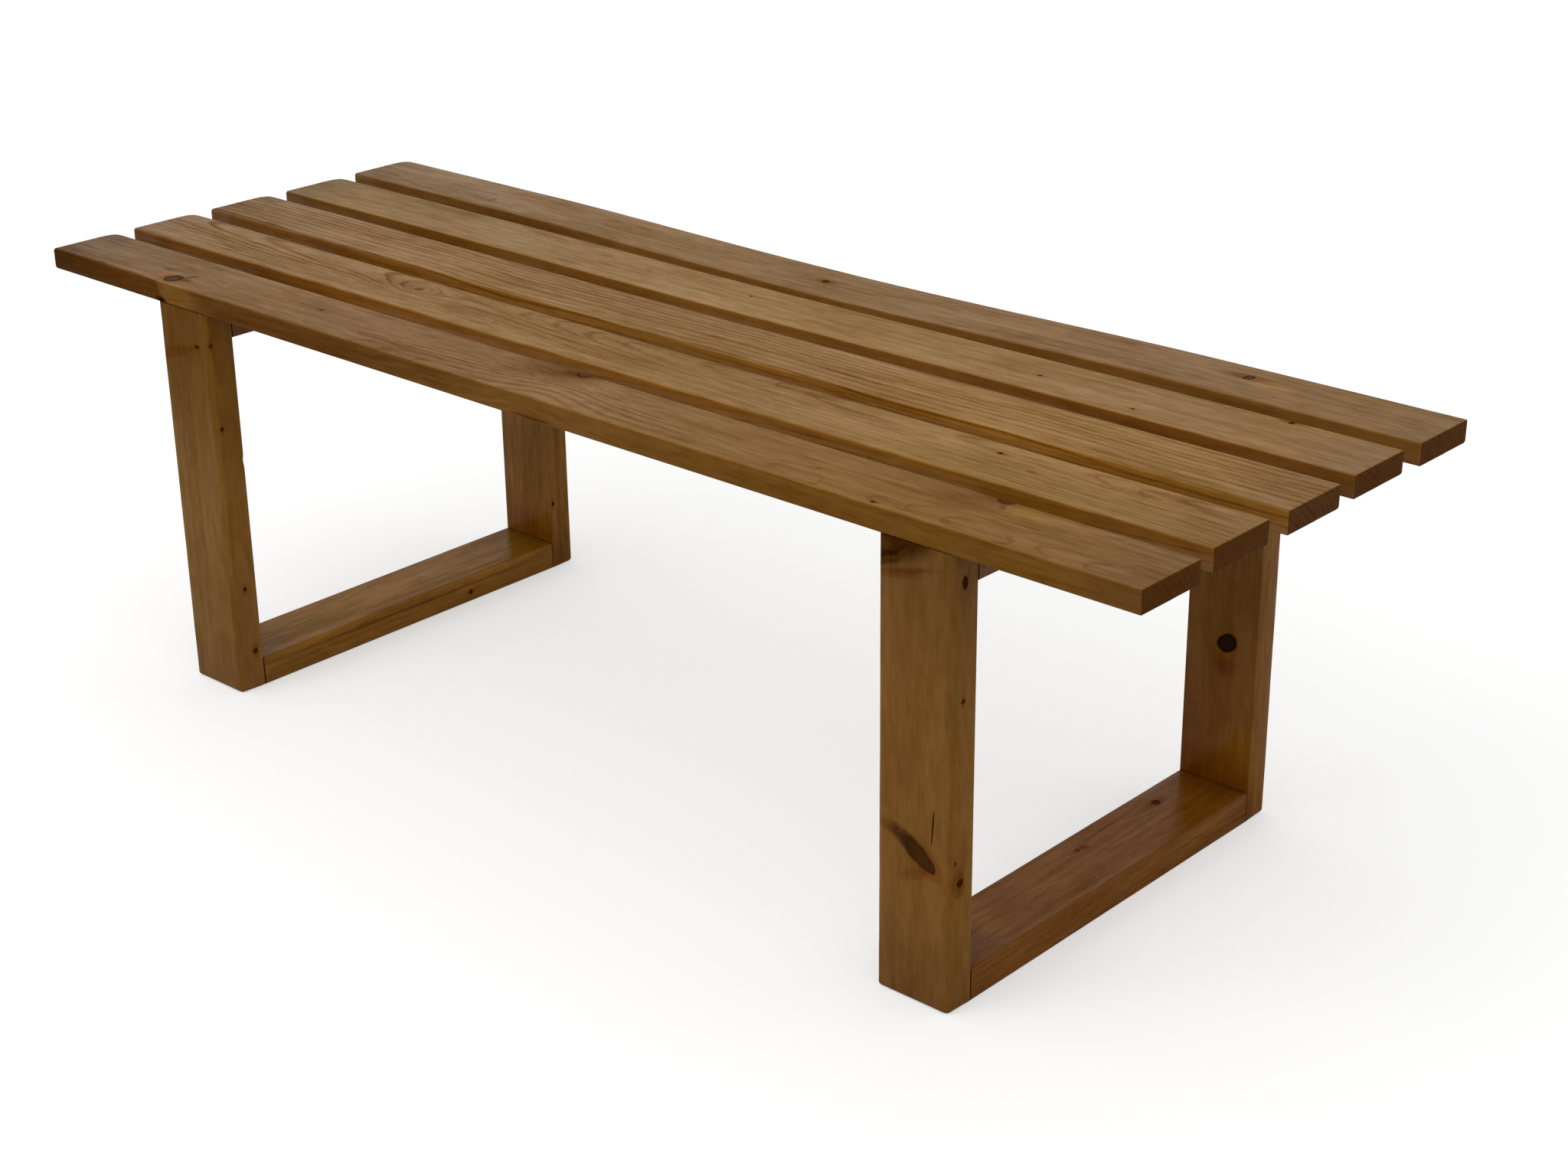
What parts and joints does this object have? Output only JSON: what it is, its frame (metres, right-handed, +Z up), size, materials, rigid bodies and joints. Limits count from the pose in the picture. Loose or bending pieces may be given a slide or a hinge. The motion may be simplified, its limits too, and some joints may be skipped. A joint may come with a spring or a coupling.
{
  "type": "slatted bench",
  "caption": "Long low bench of lacquered pine: spaced flat slats screwed down on closed rectangular leg frames that stand on their bottom rails.",
  "frame": {"origin": "on the floor under the middle of the bench's bounding box", "axes": "+X along the slats to the right, +Y from the front slat to the back slat, +Z up"},
  "size_m": [1.44, 0.5, 0.454],
  "materials": {
    "slat_pine": "satin lacquer on honey brown pine",
    "frame_pine": "satin lacquer on honey brown pine",
    "beech": "bare turned beech",
    "screw_steel": "dull zinc plate"
  },
  "bodies": {
    "root": {"left_back_upright": "frame_pine", "left_bottom_back_dowel_left": "beech", "left_bottom_back_dowel_right": "beech", "left_bottom_front_dowel_left": "beech", "left_bottom_front_dowel_right": "beech", "left_bottom_rail": "frame_pine", "left_front_upright": "frame_pine", "left_slat_1_back_screw": "screw_steel", "left_slat_1_front_screw": "screw_steel", "left_slat_2_back_screw": "screw_steel", "left_slat_2_front_screw": "screw_steel", "left_slat_3_back_screw": "screw_steel", "left_slat_3_front_screw": "screw_steel", "left_slat_4_back_screw": "screw_steel", "left_slat_4_front_screw": "screw_steel", "left_slat_5_back_screw": "screw_steel", "left_slat_5_front_screw": "screw_steel", "left_top_back_dowel_left": "beech", "left_top_back_dowel_right": "beech", "left_top_front_dowel_left": "beech", "left_top_front_dowel_right": "beech", "left_top_rail": "frame_pine", "right_back_upright": "frame_pine", "right_bottom_back_dowel_left": "beech", "right_bottom_back_dowel_right": "beech", "right_bottom_front_dowel_left": "beech", "right_bottom_front_dowel_right": "beech", "right_bottom_rail": "frame_pine", "right_front_upright": "frame_pine", "right_slat_1_back_screw": "screw_steel", "right_slat_1_front_screw": "screw_steel", "right_slat_2_back_screw": "screw_steel", "right_slat_2_front_screw": "screw_steel", "right_slat_3_back_screw": "screw_steel", "right_slat_3_front_screw": "screw_steel", "right_slat_4_back_screw": "screw_steel", "right_slat_4_front_screw": "screw_steel", "right_slat_5_back_screw": "screw_steel", "right_slat_5_front_screw": "screw_steel", "right_top_back_dowel_left": "beech", "right_top_back_dowel_right": "beech", "right_top_front_dowel_left": "beech", "right_top_front_dowel_right": "beech", "right_top_rail": "frame_pine", "slat_1": "slat_pine", "slat_2": "slat_pine", "slat_3": "slat_pine", "slat_4": "slat_pine", "slat_5": "slat_pine"}
  },
  "joints": []
}
